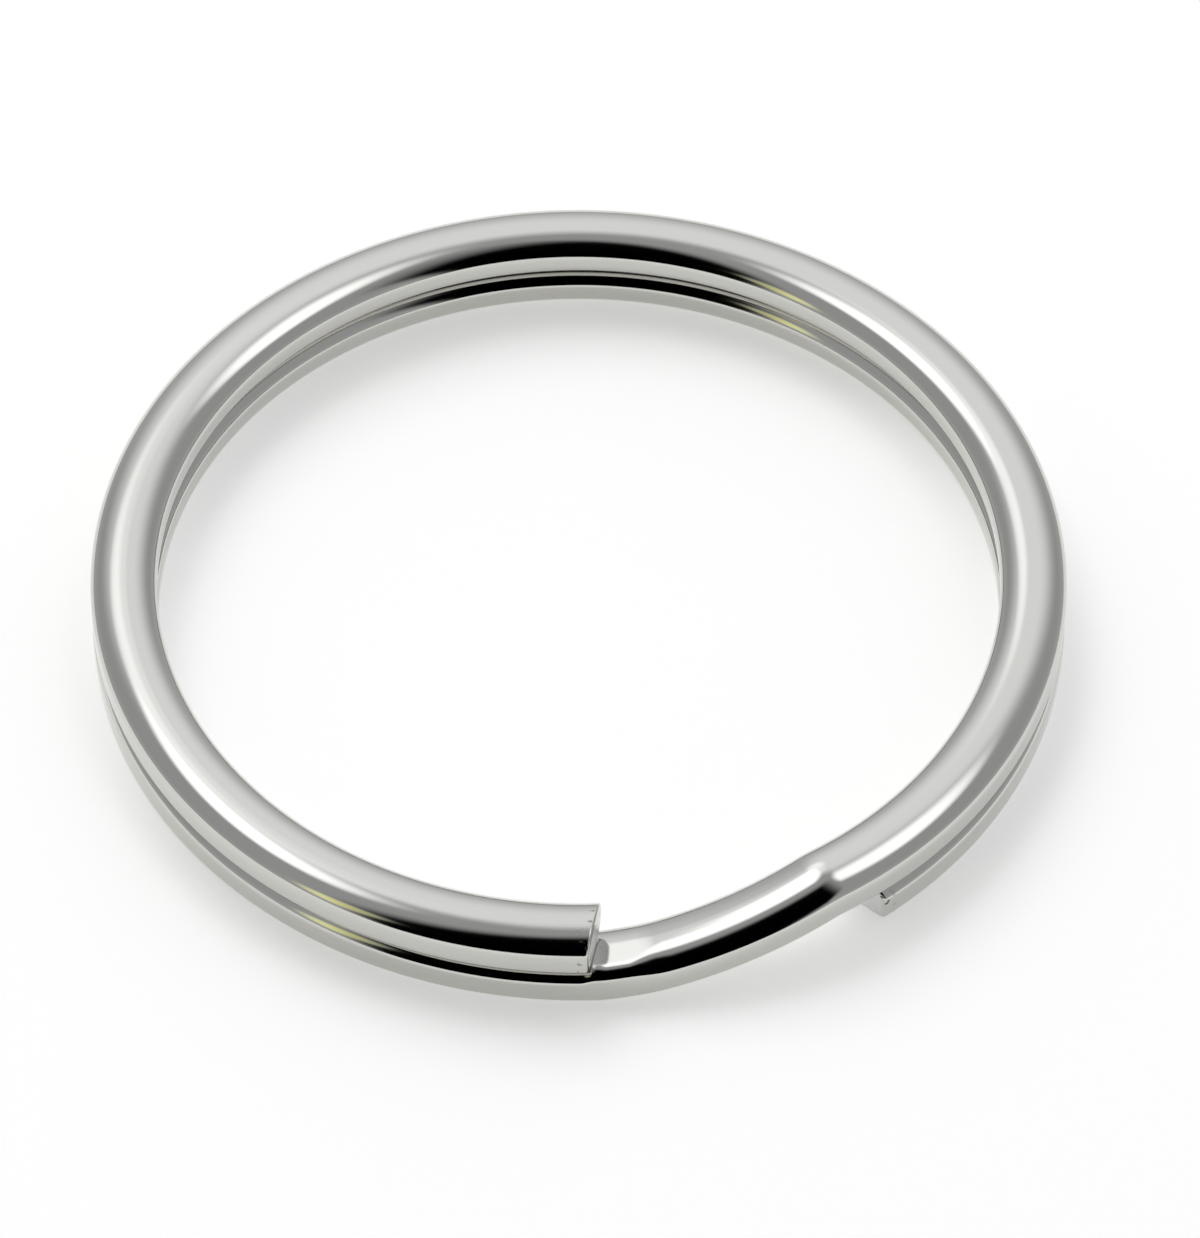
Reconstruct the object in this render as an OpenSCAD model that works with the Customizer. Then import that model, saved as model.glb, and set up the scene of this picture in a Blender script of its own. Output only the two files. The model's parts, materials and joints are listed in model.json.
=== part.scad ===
/* [Ring] */
// Outside diameter of the ring
ring_od = 25; // [18:0.5:40]

/* [Wire] */
// Width of the flattened wire, across the ring
wire_w = 1.7; // [1.2:0.05:2.4]
// Height of the flattened wire, along the ring's axis
wire_h = 1.06; // [0.8:0.01:1.6]
// How far the crown of the wire's upper face reaches in from the wire's sides
crown_w = 0.78; // [0.2:0.01:0.9]
// How far the crown reaches down the wire's sides
crown_h = 0.38; // [0.2:0.01:0.6]
// Radius of the wire's lower edge on the ring's outside
edge_out_r = 0.17; // [0.06:0.01:0.4]
// Radius of the wire's lower edge on the ring's inside
edge_in_r = 0.37; // [0.06:0.01:0.4]
// Air between the two turns where one lies over the other
turn_gap = 0.06; // [0.02:0.01:0.2]

/* [Joggle] */
// Direction of the joggle's middle, in degrees anticlockwise from +X
joggle_dir = -69.8; // [-180:0.1:180]
// Length of wire in which the joggle climbs from the lower turn to the upper one
joggle_run = 5.1; // [4:0.1:8]
// Length of wire that each of the joggle's two bends takes up
bend_run = 0.5; // [0.3:0.05:1]

/* [Cut ends] */
// Length of the lower wire left bare between the joggle's foot and the upper turn's end
upper_end_gap = 1.1; // [0.6:0.1:4]
// Length of the upper wire left bare between the joggle's top and the lower turn's end
lower_end_gap = 0.9; // [0.6:0.1:4]
// Angle by which each end was sheared off square, shorter on the ring's outside
shear_skew = 13; // [0:1:20]

/* [Hidden] */

// The wire runs twice round a circle of this radius, through the middle of its width
coil_r = (ring_od - wire_w) / 2;
// The upper turn lies this much higher than the lower one
pitch = wire_h + turn_gap;
// Largest shares of the wire's width and height that one rounding takes, so that a flat middle is left
WIDTH_SHARE = 0.48;
HEIGHT_SHARE = 0.45;
// Roundings of the wire as [inward, along the side]
crown = [min(crown_w, wire_w * WIDTH_SHARE), min(crown_h, wire_h * HEIGHT_SHARE)];
edge_in = min(edge_in_r, wire_h * HEIGHT_SHARE) * [1, 1];
edge_out = min(edge_out_r, wire_h * HEIGHT_SHARE) * [1, 1];
// The same for the four corners of the section, from the upper outer one by way of the inside
corners = [crown, crown, edge_in, edge_out];

// Angle that a length of wire takes up on the circle
function along(length) = length / coil_r * 180 / PI;

// Where the joggle starts to climb, where it ends, and where each turn was cut off
foot_dir = joggle_dir - along(joggle_run / 2);
top_dir = joggle_dir + along(joggle_run / 2);
upper_end_dir = foot_dir - along(upper_end_gap) + 360;
lower_end_dir = top_dir + along(lower_end_gap);

// The joggle climbs at this slope between its bends
slope = pitch / (joggle_run - bend_run);
// Spare wire that the shear takes off, and the reach of the blade that takes it
offcut = wire_w;
// The joggle runs on inside each turn by this length, slimmer all round by a margin too small to see
lap_run = 0.3;
lap_margin = 0.01;
// Steps round each edge, along each bend and along the slope between them
EDGE_STEPS = 8;
BEND_STEPS = 6;
SLOPE_STEPS = 20;
TURN_FN = 240;
NICKEL = [0.76, 0.75, 0.71];

// Section of the wire as points round its outline, drawn in by a margin: [outward, upward] from its middle.
// A quarter of an ellipse rounds each corner
function outline(margin) = [
    for (corner = [0:3], step = [0:EDGE_STEPS])
        let (
            a = 90 * (corner + step / EDGE_STEPS),
            r = corners[corner],
            out = (corner == 0 || corner == 3 ? 1 : -1) * (wire_w / 2 - r.x),
            up = (corner < 2 ? 1 : -1) * (wire_h / 2 - r.y)
        )
        [out + (r.x - margin) * cos(a), up + (r.y - margin) * sin(a)]
];

// One turn lying at a height, from one direction to another
module turn(from, to, base) {
    rotate([0, 0, from])
        rotate_extrude(angle = to - from, $fn = TURN_FN)
            translate([coil_r, base + wire_h / 2]) polygon(outline(0));
}

// The wire beyond a shear cut; way is 1 where the wire ends as the angle grows, and -1 where it starts
module sheared_off(dir, way, base) {
    rotate([0, 0, dir])
        translate([coil_r, 0, base + wire_h / 2])
            rotate([0, 0, -way * shear_skew])
                translate([0, way * offcut, 0]) cube([3 * wire_w, 2 * offcut, 2 * wire_h], center = true);
}

// Height of the wire at a distance along the joggle: a bend, an even slope and a bend
function climb(s) =
    s <= 0 ? 0
    : s < bend_run ? slope * s * s / (2 * bend_run)
    : s <= joggle_run - bend_run ? slope * (s - bend_run / 2)
    : s < joggle_run ? pitch - slope * pow(joggle_run - s, 2) / (2 * bend_run)
    : pitch;

// Angle at which the wire climbs there
function incline(s) = atan(slope * max(0, min(1, s / bend_run, (joggle_run - s) / bend_run)));

// A point of the section set square across the wire there
function across(s, p) =
    let (
        dir = foot_dir + along(s),
        lean = p.y * sin(incline(s)),
        r = coil_r + p.x
    )
    [
        r * cos(dir) + lean * sin(dir),
        r * sin(dir) - lean * cos(dir),
        wire_h / 2 + climb(s) + p.y * cos(incline(s))
    ];

// The joggle: the section carried along the climb, and on into the turn at each end
module joggle() {
    slope_run = joggle_run - 2 * bend_run;
    stations = concat(
        [-lap_run],
        [for (i = [1:BEND_STEPS]) bend_run * i / BEND_STEPS],
        [for (i = [1:SLOPE_STEPS]) bend_run + slope_run * i / SLOPE_STEPS],
        [for (i = [1:BEND_STEPS - 1]) bend_run + slope_run + bend_run * i / BEND_STEPS],
        [joggle_run + lap_run]
    );
    rings = [for (s = stations) [for (p = outline(lap_margin)) across(s, p)]];
    sides = len(rings[0]);
    last = len(rings) - 1;
    walls = [
        for (k = [0:last - 1], i = [0:sides - 1])
            let (a = k * sides + i, b = k * sides + (i + 1) % sides)
            [a, b, b + sides, a + sides]
    ];
    caps = [
        [for (i = [sides - 1:-1:0]) i],
        [for (i = [0:sides - 1]) last * sides + i]
    ];
    polyhedron([for (ring = rings) each ring], concat(walls, caps), convexity = 4);
}

// The whole ring is one length of wire: a lower turn, the joggle and an upper turn
module split_ring() {
    color(NICKEL) {
        difference() {
            turn(lower_end_dir - along(offcut), foot_dir + 360, 0);
            sheared_off(lower_end_dir, -1, 0);
        }
        joggle();
        difference() {
            turn(top_dir, upper_end_dir + along(offcut), pitch);
            sheared_off(upper_end_dir, 1, pitch);
        }
    }
}

split_ring();
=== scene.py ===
# %% [markdown]
# # A split ring in bright nickel
#
# A split ring is one length of flattened steel wire, coiled nearly twice round and plated. Two sheared
# ends and a joggle, the short slope where the wire climbs from the lower turn to the upper one, are all
# the detail it has. So the picture rests on three things: the true section of the wire, a mirror finish,
# and a studio that gives the mirror something to show. This lesson makes them in that order.

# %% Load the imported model
import json

import bmesh
import bpy
import numpy as np
from mathutils import Matrix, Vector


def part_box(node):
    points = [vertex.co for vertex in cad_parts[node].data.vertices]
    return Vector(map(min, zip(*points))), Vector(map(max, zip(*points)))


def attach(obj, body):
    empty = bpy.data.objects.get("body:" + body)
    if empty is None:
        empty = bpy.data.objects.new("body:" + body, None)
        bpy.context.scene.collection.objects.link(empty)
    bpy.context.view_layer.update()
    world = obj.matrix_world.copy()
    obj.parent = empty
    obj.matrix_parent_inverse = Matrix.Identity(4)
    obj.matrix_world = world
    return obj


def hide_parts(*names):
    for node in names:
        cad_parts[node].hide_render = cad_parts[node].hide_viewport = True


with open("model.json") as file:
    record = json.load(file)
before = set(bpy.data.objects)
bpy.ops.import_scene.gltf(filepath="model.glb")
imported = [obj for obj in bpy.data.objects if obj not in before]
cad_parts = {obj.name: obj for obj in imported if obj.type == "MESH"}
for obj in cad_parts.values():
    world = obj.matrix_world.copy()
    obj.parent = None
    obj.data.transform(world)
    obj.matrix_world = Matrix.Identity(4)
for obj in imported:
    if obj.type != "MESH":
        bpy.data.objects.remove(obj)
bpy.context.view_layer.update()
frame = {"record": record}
MM = 0.001

# %% [markdown]
# ## The sizes of the wire
#
# The frame already knows how big the ring is: its box gives the outside diameter and the height, and the
# eye's mount gives the inner radius. The wire's width and height follow from those. What is left is read
# off the photograph: where the joggle lies, how round the edges are and how the ends were cut. The wire is
# taken to be rolled with a crowned upper face and a flat underside, so each corner of its section has its own
# rounding.

# %% Sizes from the frame, and the few that the frame doesn't state
low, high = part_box("split_ring")
eye = next(m for m in frame["record"]["mounts"] if m["name"] == "eye")
OUTER_R = (high[0] - low[0]) / 2
WIRE_W = OUTER_R - eye["dims"]["r_mm"] * MM
TURN_GAP = 0.06 * MM
WIRE_H = (high[2] - low[2] - TURN_GAP) / 2
PITCH = WIRE_H + TURN_GAP
COIL_R = OUTER_R - WIRE_W / 2
CROWN = (0.78 * MM, 0.38 * MM)
EDGE_IN = (0.37 * MM, 0.37 * MM)
EDGE_OUT = (0.17 * MM, 0.17 * MM)
JOGGLE_DIR = np.radians(-69.8)
JOGGLE_RUN = 5.1 * MM
BEND_RUN = 0.5 * MM
UPPER_END_GAP = 1.1 * MM
LOWER_END_GAP = 0.9 * MM
SHEAR_SLANT = np.tan(np.radians(13))
print(f"wire {WIRE_W / MM:.2f} x {WIRE_H / MM:.2f} mm, coiled at radius {COIL_R / MM:.2f} mm")

# %% [markdown]
# ## The way the wire runs
#
# The path is told by one number, the distance along the wire from the lower end. A circle gives the place
# in plan, and the height is the running sum of the slope: level on the lower turn, a bend, an even slope, a
# bend, and level again. The reflections suggest that the wire also rises a little before the joggle's foot,
# on the bare stretch that catches the light. Short steps are spent on the bends and the cut ends, where the
# reflections change quickly, and long ones on the plain turns.

# %% Stations along the wire
FOOT = 2 * np.pi * COIL_R - LOWER_END_GAP - JOGGLE_RUN
TOP = FOOT + JOGGLE_RUN
LENGTH = TOP + 2 * np.pi * COIL_R - JOGGLE_RUN - UPPER_END_GAP
START_DIR = JOGGLE_DIR + (JOGGLE_RUN / 2 + LOWER_END_GAP) / COIL_R
END_ZONE = 1.2 * MM
EARLY_SLOPE = 0.13
EARLY_BEND = 0.3 * MM
PRESS_IN = 0.4 * MM
PRESS_START = FOOT - UPPER_END_GAP - PRESS_IN

EARLY_START = -UPPER_END_GAP
STEEP_STOP = JOGGLE_RUN - BEND_RUN
BEND_AT = np.array([EARLY_START, EARLY_START + EARLY_BEND, 0, BEND_RUN, STEEP_STOP, JOGGLE_RUN])
EARLY_PART = np.array([0, 1, 1, 0, 0, 0])
STEEP_PART = np.array([0, 0, 0, 1, 1, 0])
EARLY_RISE = EARLY_SLOPE * np.trapz(EARLY_PART, BEND_AT)
STEEP_SLOPE = (PITCH - EARLY_RISE) / np.trapz(STEEP_PART, BEND_AT)
SLOPE = EARLY_SLOPE * EARLY_PART + STEEP_SLOPE * STEEP_PART


def steps(start, stop, count):
    """Evenly spaced distances from start up to, but not including, stop."""
    return np.linspace(start, stop, count, endpoint=False)


def incline(s):
    """Slope at distance s along the joggle, straight between the places where it is told."""
    return np.interp(s, BEND_AT, SLOPE)


def climb(s):
    """Height gained at distance s: the running sum of the slope, by trapezia on a fine row of places."""
    row = np.linspace(BEND_AT[0], BEND_AT[-1], 2000)
    gain = (incline(row[1:]) + incline(row[:-1])) / 2 * np.diff(row)
    return np.interp(s, row, np.concatenate([[0], np.cumsum(gain)]))


stations = np.concatenate([
    steps(0, END_ZONE, 36),
    steps(END_ZONE, PRESS_START, 430),
    steps(PRESS_START, FOOT, 44),
    steps(FOOT, FOOT + BEND_RUN, 40),
    steps(FOOT + BEND_RUN, TOP - BEND_RUN, 60),
    steps(TOP - BEND_RUN, TOP, 40),
    steps(TOP, LENGTH - END_ZONE, 450),
    np.linspace(LENGTH - END_ZONE, LENGTH, 36),
])
print(f"{LENGTH / MM:.1f} mm of wire in {len(stations)} stations")

# %% [markdown]
# ## The section, and the wire drawn along the path
#
# The section is a flat bar with four rounded corners, told by a second parameter that runs round it. A
# quarter of a flat ellipse crowns each half of the upper face, and two quarter circles round the edges of
# the underside. On the bare stretch before the foot the reflections suggest that the crown's outer half is
# pressed flatter, so there the section is a blend of two. A bevelled curve could carry one section along the
# path, but not a blend or a leaning end. So the wire is worked out as one grid, stations one way and section
# points the other, and the corners get many points, because a mirror shows every change of slope.

# %% The section as points round its outline
EDGE_POINTS = 18
FACE_POINTS = 2
PRESSED = (0.42 * MM, 0.26 * MM)
PRESS_OUT = 1.0 * MM
PRESS_STOP = FOOT + 0.75 * MM


def section(outer_crown):
    """Points round the wire's section, [outward, upward] from its middle.

    A quarter of an ellipse at each corner, and evenly spaced points on the straight stretches between.
    """
    corners = ((1, 1, outer_crown), (-1, 1, CROWN), (-1, -1, EDGE_IN), (1, -1, EDGE_OUT))
    turn = np.linspace(0, np.pi / 2, EDGE_POINTS)
    arcs = []
    for k, (out, up, (across, along)) in enumerate(corners):
        arcs.append(np.stack([out * (WIRE_W / 2 - across) + across * np.cos(turn + k * np.pi / 2),
                              up * (WIRE_H / 2 - along) + along * np.sin(turn + k * np.pi / 2)], axis=-1))
    share = np.linspace(0, 1, FACE_POINTS + 2)[1:-1, None]
    between = [arc[-1] + (arcs[(k + 1) % 4][0] - arc[-1]) * share for k, arc in enumerate(arcs)]
    return np.concatenate([part for pair in zip(arcs, between) for part in pair])


def ease(t):
    """From nought to one as t does, with soft shoulders: three t squared less two t cubed, level beyond."""
    t = np.clip(t, 0, 1)
    return t * t * (3 - 2 * t)


def pressed(s):
    """Share of the pressed section at distance s: one on the bare stretch before the foot, none elsewhere."""
    return ease((s - PRESS_START) / PRESS_IN) * ease((PRESS_STOP - s) / PRESS_OUT)


share = pressed(stations)[:, None, None]
outlines = section(CROWN) * (1 - share) + section(PRESSED) * share
ROWS, COLUMNS = outlines.shape[:2]
print(f"{COLUMNS} points round the wire at each of {ROWS} stations")

# %% [markdown]
# ## The sheared ends
#
# The ends look sheared, not sawn: each one leans, so that the ring's outside is shorter, and its rim is a
# little rounded. A boolean cut would leave a sharp rim and uneven faces beside it. So the lean is a slide of
# each point along the wire, in proportion to how far out it lies, that fades away from the end. The rounding
# draws the last rows in by a quarter circle, and a few shrinking rows close the face.

# %% Lean, rounded rim and closing rows
RIM = 0.06 * MM
FACE_ROWS = 8


def at_end(distance):
    """Share of the lean that is left at a distance from the cut: one there, and none beyond the zone."""
    return ease(1 - distance / END_ZONE)


def drawn_in(distance):
    """How far the rim is drawn in at a distance from the cut: a quarter circle of the rim's radius."""
    t = np.clip(1 - distance / RIM, 0, 1)
    return RIM * (1 - np.sqrt(1 - t * t))


def place(s, outline):
    """Carry outline rows to distances s along the wire: a circle in plan, the climb, and the slope's tilt."""
    joggle = s - FOOT
    tilt = np.arctan(incline(joggle))
    lean = outline[..., 1] * np.sin(tilt)
    angle = START_DIR + s / COIL_R
    r = COIL_R + outline[..., 0]
    x = r * np.cos(angle) + lean * np.sin(angle)
    y = r * np.sin(angle) - lean * np.cos(angle)
    z = WIRE_H / 2 + climb(joggle) + outline[..., 1] * np.cos(tilt)
    return np.stack([x, y, z], axis=-1)


from_start, from_end = stations[:, None], LENGTH - stations[:, None]
inset = drawn_in(from_start) + drawn_in(from_end)
rimmed = outlines * (1 - inset / np.linalg.norm(outlines, axis=-1))[..., None]
slide = SHEAR_SLANT * rimmed[..., 0] * (at_end(from_start) - at_end(from_end))
wall = place(stations[:, None] + slide, rimmed)

shrink = np.linspace(1, 0, FACE_ROWS + 1)[1:, None, None]
cut_b = rimmed[:1] * shrink
cut_a = rimmed[-1:] * shrink
face_b = place(SHEAR_SLANT * cut_b[..., 0], cut_b)[::-1]
face_a = place(LENGTH - SHEAR_SLANT * cut_a[..., 0], cut_a)
grid = np.concatenate([face_b, wall, face_a])
print(f"ends lean {np.degrees(np.arctan(SHEAR_SLANT)):.0f} degrees")

# %% [markdown]
# ## From grid to mesh
#
# The grid goes into a mesh as whole arrays. Each quad joins two neighbouring stations, and the last
# column joins the first, so the tube is closed. The closing rows shrink to one point at the middle of each
# cut, so the points there are merged. A UV map keeps the distance along the wire and round it, in
# millimetres, so that drawing lines can follow the metal. One attribute marks the cut faces, and another the
# last half millimetre before them, where the shear left nicks. The faces themselves have fainter ones.

# %% Build the wire's mesh
rows_all = len(grid)
index = np.arange(rows_all * COLUMNS).reshape(rows_all, COLUMNS)
ahead = np.roll(index, -1, axis=1)
quads = np.stack([index[:-1], index[1:], ahead[1:], ahead[:-1]], axis=-1).reshape(-1, 4)

mesh = bpy.data.meshes.new("split_ring_wire")
mesh.from_pydata(grid.reshape(-1, 3).tolist(), [], quads.tolist())

row_s = np.concatenate([np.zeros(FACE_ROWS), stations, np.full(FACE_ROWS, LENGTH)])
girth = 2 * (WIRE_W + WIRE_H)
corner_row = (quads // COLUMNS).ravel()
corner_column = np.tile(np.arange(COLUMNS)[:, None] + np.array([0, 0, 1, 1]), (rows_all - 1, 1)).ravel()
uv = np.stack([row_s[corner_row], corner_column / COLUMNS * girth], axis=-1) / MM
mesh.uv_layers.new(name="wire").data.foreach_set("uv", uv.ravel())

cut = np.zeros((rows_all, COLUMNS))
cut[:FACE_ROWS] = 1
cut[-FACE_ROWS:] = 1
mesh.attributes.new("cut_face", "FLOAT", "POINT").data.foreach_set("value", cut.ravel())

NICK_ZONE = 0.5 * MM
NICKS_OFF_FACE = 0.7
near = ease(1 - np.minimum(row_s, LENGTH - row_s) / NICK_ZONE)
near_cut = np.repeat(near, COLUMNS) * (1 - NICKS_OFF_FACE * cut.ravel())
mesh.attributes.new("near_cut", "FLOAT", "POINT").data.foreach_set("value", near_cut)

SAME_POINT = 1e-8
shell = bmesh.new()
shell.from_mesh(mesh)
bmesh.ops.remove_doubles(shell, verts=shell.verts, dist=SAME_POINT)
volume = shell.calc_volume(signed=True)
shell.to_mesh(mesh)
shell.free()

mesh.polygons.foreach_set("use_smooth", np.ones(len(mesh.polygons), dtype=bool))
mesh.validate()
mesh.update()
ring = bpy.data.objects.new("split_ring_wire", mesh)
bpy.context.scene.collection.objects.link(ring)
print(f"{len(mesh.vertices)} points, {len(mesh.polygons)} faces, {volume / MM ** 3:.1f} cubic mm")

# %% [markdown]
# ## Shader maths as plain expressions
#
# A node tree is easier to read as a formula. This class wraps a socket so that `1 - mask` or
# `0.05 + grain * 0.1` adds the Math nodes itself, and one method makes any other node.

# %% A socket that can be used in sums


class Signal:
    """A socket in a node tree; sums of it add Math nodes to that tree."""

    def __init__(self, tree, socket=None):
        self.tree = tree
        self.socket = socket

    def node(self, kind, settings=None, inputs=None, out=0):
        """Add a node: its settings first, then the value or link of each named or numbered input."""
        made = self.tree.nodes.new(kind)
        for name, value in (settings or {}).items():
            setattr(made, name, value)
        for key, value in (inputs or {}).items():
            if isinstance(value, Signal):
                self.tree.links.new(value.socket, made.inputs[key])
            else:
                made.inputs[key].default_value = value
        return Signal(self.tree, made.outputs[out])

    def math(self, operation, *terms):
        """Add a Math node that does the operation on the terms, in their order."""
        return self.node("ShaderNodeMath", {"operation": operation}, dict(enumerate(terms)))

    def __add__(self, other):
        return self.math("ADD", self, other)

    def __sub__(self, other):
        return self.math("SUBTRACT", self, other)

    def __rsub__(self, other):
        return self.math("SUBTRACT", other, self)

    def __mul__(self, other):
        return self.math("MULTIPLY", self, other)

    __radd__ = __add__
    __rmul__ = __mul__


def new_material(name):
    """An empty material with its output node, and a Signal to build on."""
    material = bpy.data.materials.new(name)
    material.use_nodes = True
    material.node_tree.nodes.clear()
    output = material.node_tree.nodes.new("ShaderNodeOutputMaterial")
    return material, Signal(material.node_tree), output


def blend(make, share, one, other):
    """A colour that goes from one to the other as the share goes from nought to one.

    The Mix node's colour sockets share their names with its other sockets, so they are given by number.
    """
    return make.node("ShaderNodeMix", {"data_type": "RGBA"}, {0: share, 6: one, 7: other}, out=2)


print("shader maths ready")

# %% [markdown]
# ## Bright nickel
#
# Bright nickel is a mirror with a faint warm tint. What keeps it from looking computed is what happens
# below a millimetre: lines left by the drawing die run along the wire under the plate, and the plate itself
# ripples a little, so the gloss is uneven. An image could hold these marks, but noise keeps them sharp at any
# distance. The sheared faces are taken as rougher bare steel with the blade's marks on them, and small nicks
# lie along the edges of the cuts: dents, with their shade painted into the colour as dark spots.

# %% The nickel material
NICKEL = (0.62, 0.615, 0.585, 1)
STEEL = (0.72, 0.72, 0.71, 1)
# Near-black colour painted into the nicks as the shade inside them, not the metal's own colour.
NICK_SHADE = (0.1, 0.1, 0.1, 1)
LINE_STRETCH = (0.25, 14, 1)
RIPPLES_PER_M = 420.0
MARKS_PER_M = 5200.0
NICKS_PER_M = 6000.0
RELIEF = 0.004 * MM


def nickel_plate():
    """Mirror metal with drawing lines along the wire, a soft ripple, rougher cut faces, and nicks by them:
    dents whose shade is painted dark into the colour.
    """
    material, make, output = new_material("nickel_plate")
    uv = make.node("ShaderNodeUVMap", {"uv_map": "wire"})
    stretched = make.node("ShaderNodeMapping", inputs={"Vector": uv, "Scale": LINE_STRETCH})
    lines = make.node("ShaderNodeTexNoise", inputs={"Vector": stretched, "Scale": 1.0, "Detail": 3.0})
    where = make.node("ShaderNodeTexCoord", out="Object")
    ripple = make.node("ShaderNodeTexNoise", inputs={"Vector": where, "Scale": RIPPLES_PER_M, "Detail": 2.0})
    marks = make.node("ShaderNodeTexNoise", inputs={"Vector": where, "Scale": MARKS_PER_M, "Detail": 4.0})
    cut_face = make.node("ShaderNodeAttribute", {"attribute_name": "cut_face"}, out="Fac")
    near_cut = make.node("ShaderNodeAttribute", {"attribute_name": "near_cut"}, out="Fac")
    spots = make.node("ShaderNodeTexNoise", inputs={"Vector": where, "Scale": NICKS_PER_M, "Detail": 1.0})
    # Nick mask: it dents the bump, adds roughness, and sets where the painted shade colour goes.
    nick_dents_and_shade = near_cut * make.node("ShaderNodeMapRange", {"interpolation_type": "SMOOTHSTEP"}, {
        "Value": spots, "From Min": 0.6, "From Max": 0.75})
    height = lines * 0.25 + ripple + marks * cut_face * 1.5 - nick_dents_and_shade * 4.0
    bumped = make.node("ShaderNodeBump", inputs={"Strength": 0.25, "Distance": RELIEF, "Height": height})
    # The nicks' darkness here is painted shade in the dents.
    colour = blend(make, nick_dents_and_shade, blend(make, cut_face, NICKEL, STEEL), NICK_SHADE)
    rough = 0.05 + ripple * 0.05 + lines * 0.03 + cut_face * 0.22 + nick_dents_and_shade * 0.3
    shader = make.node("ShaderNodeBsdfPrincipled", inputs={
        "Base Color": colour, "Metallic": 1.0, "Roughness": rough, "Normal": bumped})
    make.tree.links.new(shader.socket, output.inputs["Surface"])
    return material


mesh.materials.append(nickel_plate())
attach(ring, "root")
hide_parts("split_ring")
print("the wire wears", mesh.materials[0].name)

# %% [markdown]
# ## The camera
#
# The ring's outline in the photograph is an ellipse, and how flat it is gives the height of the camera:
# about fifty degrees above the table. The near and far sides are almost the same size, so the lens is a
# long one from nearly nineteen ring radii away. The ring sits a little left of the middle of the frame and
# above it, so the camera aims beside it.

# %% Camera
PHOTO_W, PHOTO_H = 1200, 1238
ELEVATION = np.radians(50.2)
ROLL = np.radians(0.2)
DISTANCE = 0.233
PIXELS_PER_MM = 38.95
RING_X, RING_Y = 578.7, 589.7

side = np.array([1.0, 0, 0])
back = np.array([0, -np.cos(ELEVATION), np.sin(ELEVATION)])
right = np.cos(ROLL) * side + np.sin(ROLL) * np.cross(back, side)
up = np.cross(back, right)
scale = MM / PIXELS_PER_MM
aim = np.array([0, 0, PITCH]) + (right * (PHOTO_W / 2 - RING_X) - up * (PHOTO_H / 2 - RING_Y)) * scale
stand = np.eye(4)
stand[:3, :3] = np.stack([right, up, back], axis=1)
stand[:3, 3] = aim + back * DISTANCE

lens = bpy.data.cameras.new("photo_camera")
lens.sensor_width = 36
lens.lens = lens.sensor_width * DISTANCE / (PHOTO_H * scale)
lens.clip_start = 0.01
camera = bpy.data.objects.new("photo_camera", lens)
camera.matrix_world = Matrix(stand.tolist())
bpy.context.scene.collection.objects.link(camera)
bpy.context.scene.camera = camera
print(f"lens {lens.lens:.0f} mm at {DISTANCE * 1000:.0f} mm")

# %% [markdown]
# ## The studio
#
# A mirror shows only its surroundings, so the studio is told as a sky: how bright it is in each direction.
# Panels stood round the ring could do it too, but their edges are hard, and a formula can be as soft as
# cloth. The reflections in the photograph suggest a white tent. The side that the camera stands on is open,
# which gives the black bands at the front and the back of the ring, a panel behind lights its flat top, and
# a lamp shines through the cloth on each side behind. The white table gives the wire its pale lower edge and
# carries the shadow.

# %% Table
FLOOR_HALF = 1.5
FLOOR_LIFT = 0.43
SHEET = (0.93, 0.93, 0.92, 1)


def white_table():
    """White sheet, lifted by a glow that the camera and the mirror both see, so that it prints white."""
    material, make, output = new_material("white_table")
    seen = [make.node("ShaderNodeLightPath", out=name) for name in
            ("Is Camera Ray", "Is Glossy Ray", "Is Transmission Ray")]
    shader = make.node("ShaderNodeBsdfPrincipled", inputs={
        "Base Color": SHEET, "Roughness": 0.9, "Specular IOR Level": 0.0,
        "Emission Color": (seen[0] + seen[1] + seen[2]) * FLOOR_LIFT, "Emission Strength": 1.0})
    make.tree.links.new(shader.socket, output.inputs["Surface"])
    return material


floor_mesh = bpy.data.meshes.new("table")
corners = np.array([[-1, -1, 0], [1, -1, 0], [1, 1, 0], [-1, 1, 0]]) * FLOOR_HALF
floor_mesh.from_pydata(corners.tolist(), [], [(0, 1, 2, 3)])
floor_mesh.materials.append(white_table())
floor = bpy.data.objects.new("table", floor_mesh)
bpy.context.scene.collection.objects.link(floor)
print("table", 2 * FLOOR_HALF, "m wide")

# %% [markdown]
# ## A lamp for the shadow
#
# The tent alone would leave a shadow all round the ring. In the photograph the shadow falls to the front and
# to the right, so a wide lamp stands behind on the left. A lamp that size would show in the mirror as a hard
# square that the photograph doesn't have, so glossy rays pass it by.

# %% A lamp over the table, kept out of the mirror
LAMP_AT = np.array([-0.12, 0.24, 0.3])
LAMP_SIZE = 0.25
LAMP_WATTS = 0.45
lamp = bpy.data.lights.new("table_lamp", "AREA")
lamp.size = LAMP_SIZE
lamp.energy = LAMP_WATTS
lamp_stand = np.eye(4)
toward = LAMP_AT / np.linalg.norm(LAMP_AT)
across = np.cross([0, 0, 1], toward) / np.linalg.norm(np.cross([0, 0, 1], toward))
lamp_stand[:3, :3] = np.stack([across, np.cross(toward, across), toward], axis=1)
lamp_stand[:3, 3] = LAMP_AT
table_lamp = bpy.data.objects.new("table_lamp", lamp)
table_lamp.matrix_world = Matrix(lamp_stand.tolist())
table_lamp.visible_glossy = False
bpy.context.scene.collection.objects.link(table_lamp)
print(f"lamp {np.linalg.norm(LAMP_AT):.2f} m from the ring")

# %% [markdown]
# ## The sky
#
# The opening and the panel are bounded by soft edges, each on a short sum of the direction's three parts.
# Two slanted edges and two upright ones bound the opening. The lamp on each side and a patch of yellow by the
# opening's left edge, which tints the ends of the black bands, are soft ovals that lie over the cloth. The
# left lamp also has a fainter spill, which lights the bare stretch before the joggle.

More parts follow.
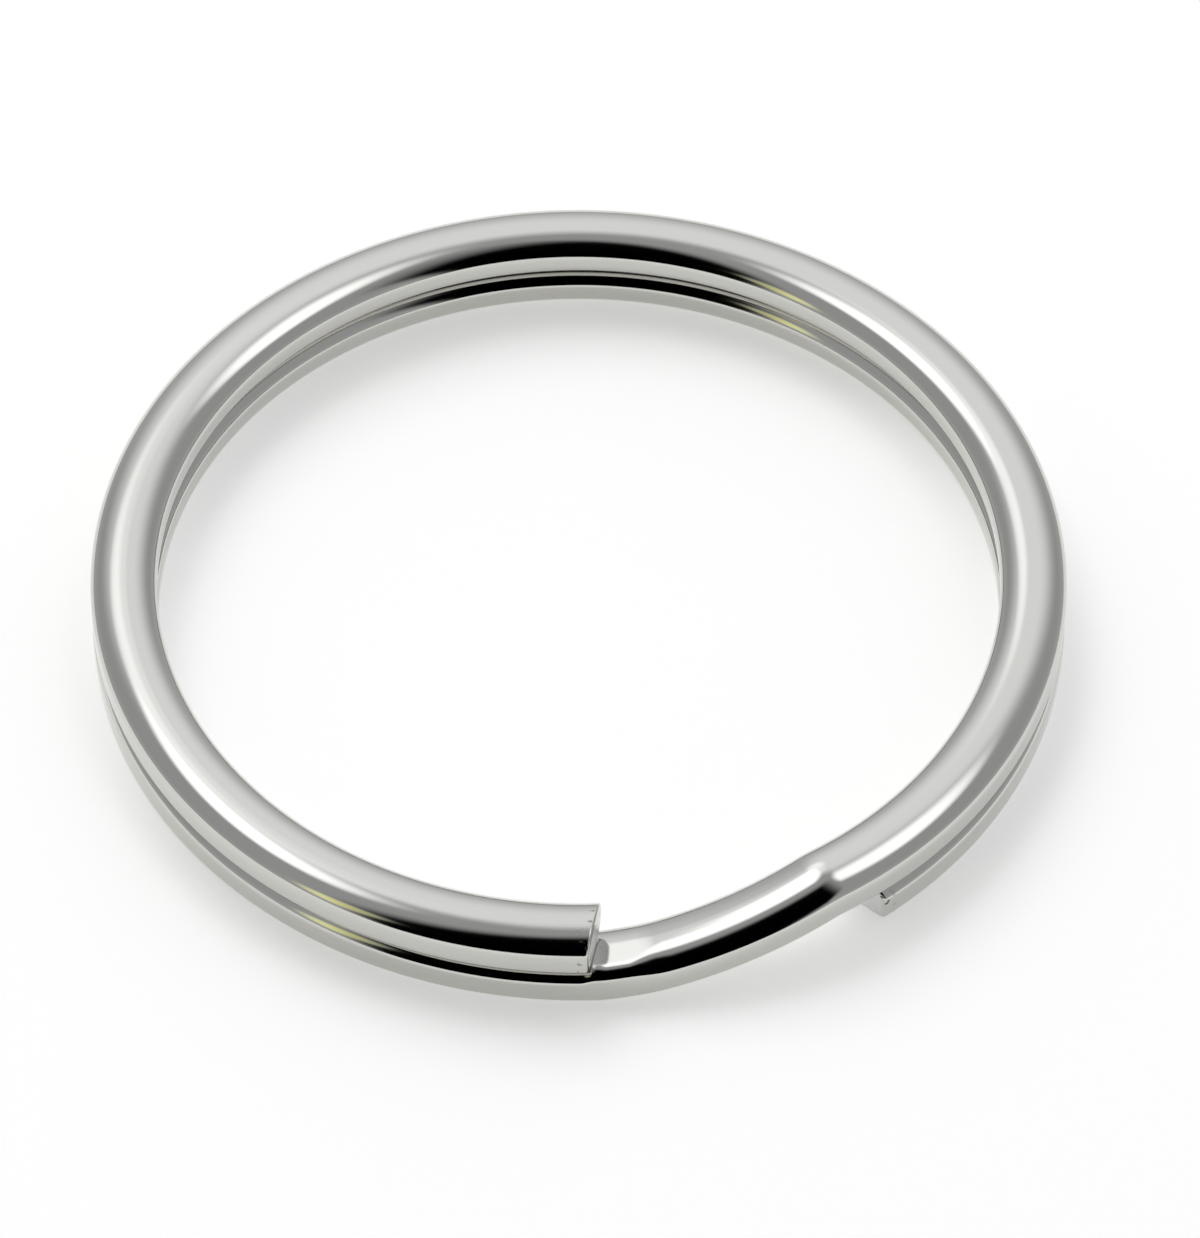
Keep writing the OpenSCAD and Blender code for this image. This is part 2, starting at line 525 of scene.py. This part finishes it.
# %% The sky: a tent, its opening, a panel behind and two lamps
TENT_LOW = 0.53
TENT_HIGH = 0.42
PANEL = 0.63
LEFT_LAMP = 1.6
LEFT_SPILL = 0.5
RIGHT_LAMP = 1.45
YELLOW_GLOW = 0.7
WHITE_CLOTH = (0.97, 0.98, 1, 1)
YELLOW_CLOTH = (1, 1, 0.45, 1)
world = bpy.data.worlds.new("tent")
world.use_nodes = True
world.node_tree.nodes.clear()
sky = Signal(world.node_tree)
direction = sky.node("ShaderNodeTexCoord", out="Generated")
x, y, z = (sky.node("ShaderNodeSeparateXYZ", inputs={"Vector": direction}, out=name) for name in "XYZ")


def fade(value, start, stop, low=0.0, high=1.0):
    """From low to high as the value goes from start to stop, with soft shoulders."""
    return sky.node("ShaderNodeMapRange", {"interpolation_type": "SMOOTHSTEP"}, {
        "Value": value, "From Min": start, "From Max": stop, "To Min": low, "To Max": high})


def soft_box(azimuth, elevation, half_width, half_height, turn=0):
    """An oval patch of light in a direction, by its half sizes and its turn from level, all in degrees."""
    az, el, width, height, turn = np.radians([azimuth, elevation, half_width, half_height, turn])
    toward = np.array([np.cos(az) * np.cos(el), np.sin(az) * np.cos(el), np.sin(el)])
    level = np.array([-np.sin(az), np.cos(az), 0])
    upright = np.cross(toward, level)
    axes = (toward, (np.cos(turn) * level + np.sin(turn) * upright) / np.sin(width),
            (np.cos(turn) * upright - np.sin(turn) * level) / np.sin(height))
    facing, along, over = (sky.node("ShaderNodeVectorMath", {"operation": "DOT_PRODUCT"},
                                    {0: direction, 1: tuple(axis)}, out="Value") for axis in axes)
    return fade(along * along + over * over, 1.0, 0.0) * fade(facing, 0.0, 0.1)


left_edge = x - y * 1.06 + z * 0.12
right_edge = z * 0.06 - y * 0.95 - x
width = fade(x, -0.74, -0.58) * fade(x, 0.62, 0.46)
opening = fade(left_edge, -0.2, 0.06) * fade(right_edge, -0.36, 0.06) * width
panel = (1 - fade(sky.math("ABSOLUTE", x), 0.1, 0.62)) * fade(y, 0.38, 0.64) * fade(z, -0.05, 0.72)
tent = fade(z, 0.0, 0.5, TENT_LOW, TENT_HIGH) + panel * PANEL
left_lamp = soft_box(azimuth=126, elevation=62, half_width=14, half_height=10.5, turn=27)
left_spill = soft_box(azimuth=108, elevation=52, half_width=11, half_height=11)
right_lamp = soft_box(azimuth=45, elevation=64.5, half_width=18, half_height=11)
yellow = soft_box(azimuth=218, elevation=36, half_width=9, half_height=22)
left_light = left_lamp * LEFT_LAMP + left_spill * LEFT_SPILL
level = tent * (1 - opening) + left_light + right_lamp * RIGHT_LAMP
cloth = blend(sky, yellow, WHITE_CLOTH, YELLOW_CLOTH)
glow = sky.node("ShaderNodeBackground", inputs={"Color": cloth, "Strength": level + yellow * YELLOW_GLOW})
ground = world.node_tree.nodes.new("ShaderNodeOutputWorld")
world.node_tree.links.new(glow.socket, ground.inputs["Surface"])
bpy.context.scene.world = world
print(f"sky of {len(world.node_tree.nodes)} nodes")

# %% [markdown]
# ## Colours as they are written
#
# The Standard view prints a colour as it stands in the material, with no film curve over it.

bpy.context.scene.view_settings.view_transform = "Standard"
